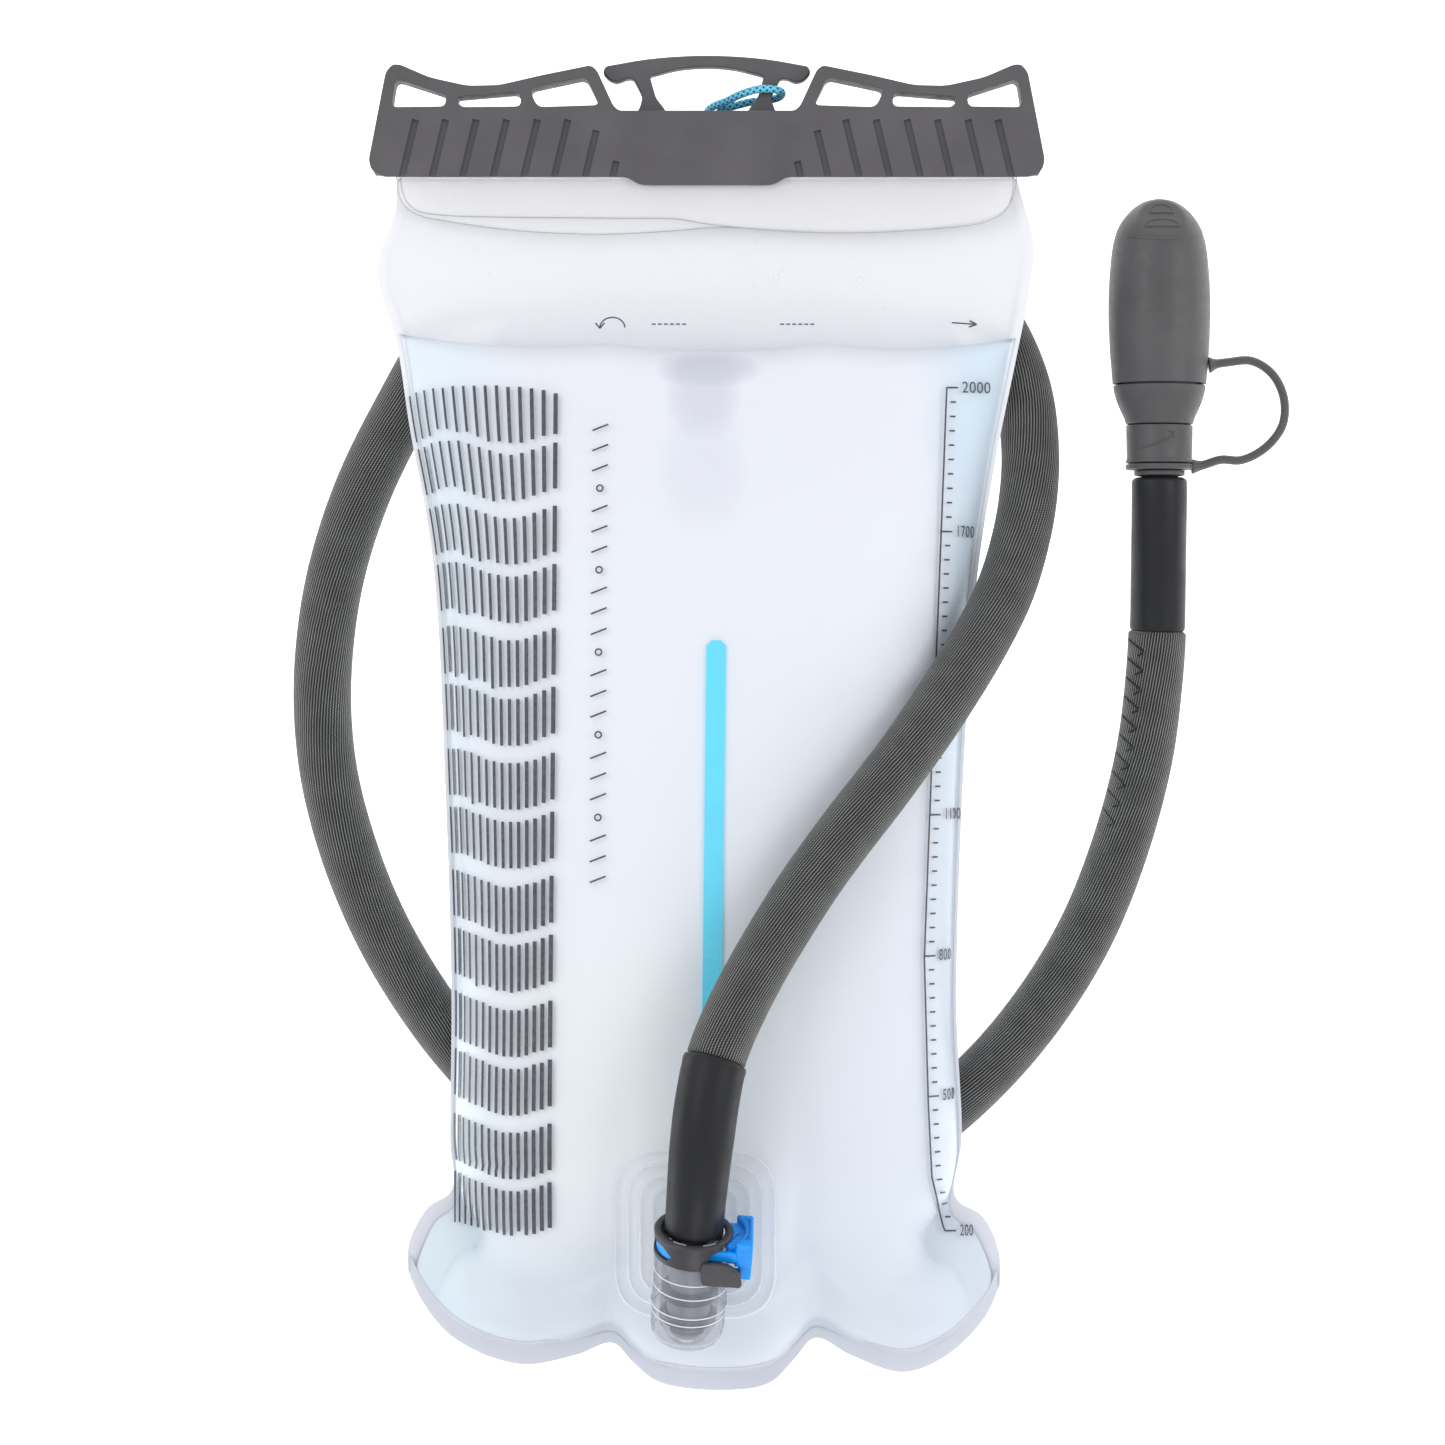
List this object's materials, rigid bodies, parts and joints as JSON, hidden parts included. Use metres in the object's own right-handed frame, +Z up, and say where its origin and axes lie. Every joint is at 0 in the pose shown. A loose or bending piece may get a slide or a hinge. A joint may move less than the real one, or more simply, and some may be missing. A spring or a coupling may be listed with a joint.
{
  "type": "hydration bladder",
  "caption": "Filled soft water reservoir lying on its back, with a slide-off top closure, carrying handle, quick-release outlet, insulated drinking hose and capped bite valve.",
  "frame": {"origin": "on the floor under the middle of the bag's bounding box, hose and valve left out", "axes": "+X to the viewer's right, +Y from the base to the handle, +Z up from the floor towards the viewer"},
  "size_m": [0.2919, 0.3873, 0.0876],
  "materials": {
    "clear_film": "soft translucent film",
    "blue_strip": "smooth blue plastic strip",
    "water": "clear water",
    "grey_moulding": "fine matte moulded plastic",
    "dark_moulding": "satin moulded plastic",
    "blue_moulding": "satin moulded plastic",
    "clear_moulding": "clear moulded plastic",
    "seal_rubber": "smooth rubber",
    "spring_steel": "bright wire",
    "tube_rubber": "smooth tube",
    "knit_sleeve": "diagonal knit with light flecks",
    "cuff_rubber": "smooth satin shrink sleeve",
    "valve_grey": "soft matte silicone and plastic",
    "soft_mouthpiece": "soft silicone",
    "blue_cord": "braided cord",
    "print_ink": "thin slate-coloured print on the film"
  },
  "bodies": {
    "bag": {"front_panel": "clear_film", "back_panel": "clear_film", "base_gusset": "clear_film", "mouth_fold": "clear_film", "back_lip": "clear_film", "front_lip": "clear_film", "tether_tab": "clear_film", "weld_patch": "clear_film", "centre_strip": "blue_strip", "water": "water", "outlet_socket": "clear_moulding", "hose_plug": "grey_moulding", "upper_o_ring": "seal_rubber", "lower_o_ring": "seal_rubber", "shutoff_poppet": "grey_moulding", "collar": "dark_moulding", "button_spring": "spring_steel", "drink_tube": "tube_rubber", "hose_sleeve": "knit_sleeve", "lower_cuff": "cuff_rubber", "upper_cuff": "cuff_rubber", "valve_stem": "grey_moulding", "valve_o_ring": "seal_rubber"},
    "slider": {"slider": "grey_moulding", "tether_cord": "blue_cord"},
    "release_button": {"release_button": "blue_moulding"},
    "valve_head": {"leash_ring": "valve_grey", "valve_neck": "valve_grey", "valve_cup": "valve_grey", "bite_mouthpiece": "soft_mouthpiece", "cap_leash": "valve_grey"},
    "dust_cap": {"dust_cap": "valve_grey"}
  },
  "joints": [
    {"name": "slider_slide", "type": "slide", "parent": "bag", "child": "slider", "axis": [-1, 0, 0], "range_m": [0, 0.19]},
    {"name": "button_press", "type": "slide", "parent": "bag", "child": "release_button", "axis": [-0.9979, 0.063, 0.0145], "range_m": [0, 0.003], "stiffness_N_per_m": 400, "springref_m": -0.001},
    {"name": "valve_twist", "type": "hinge", "parent": "bag", "child": "valve_head", "pos_m": [0.1324, 0.081, 0.0154], "axis": [0, -1, 0], "range_deg": [0, 90]},
    {"name": "cap_pull", "type": "slide", "parent": "valve_head", "child": "dust_cap", "axis": [0, 1, 0], "range_m": [0, 0.06]}
  ]
}
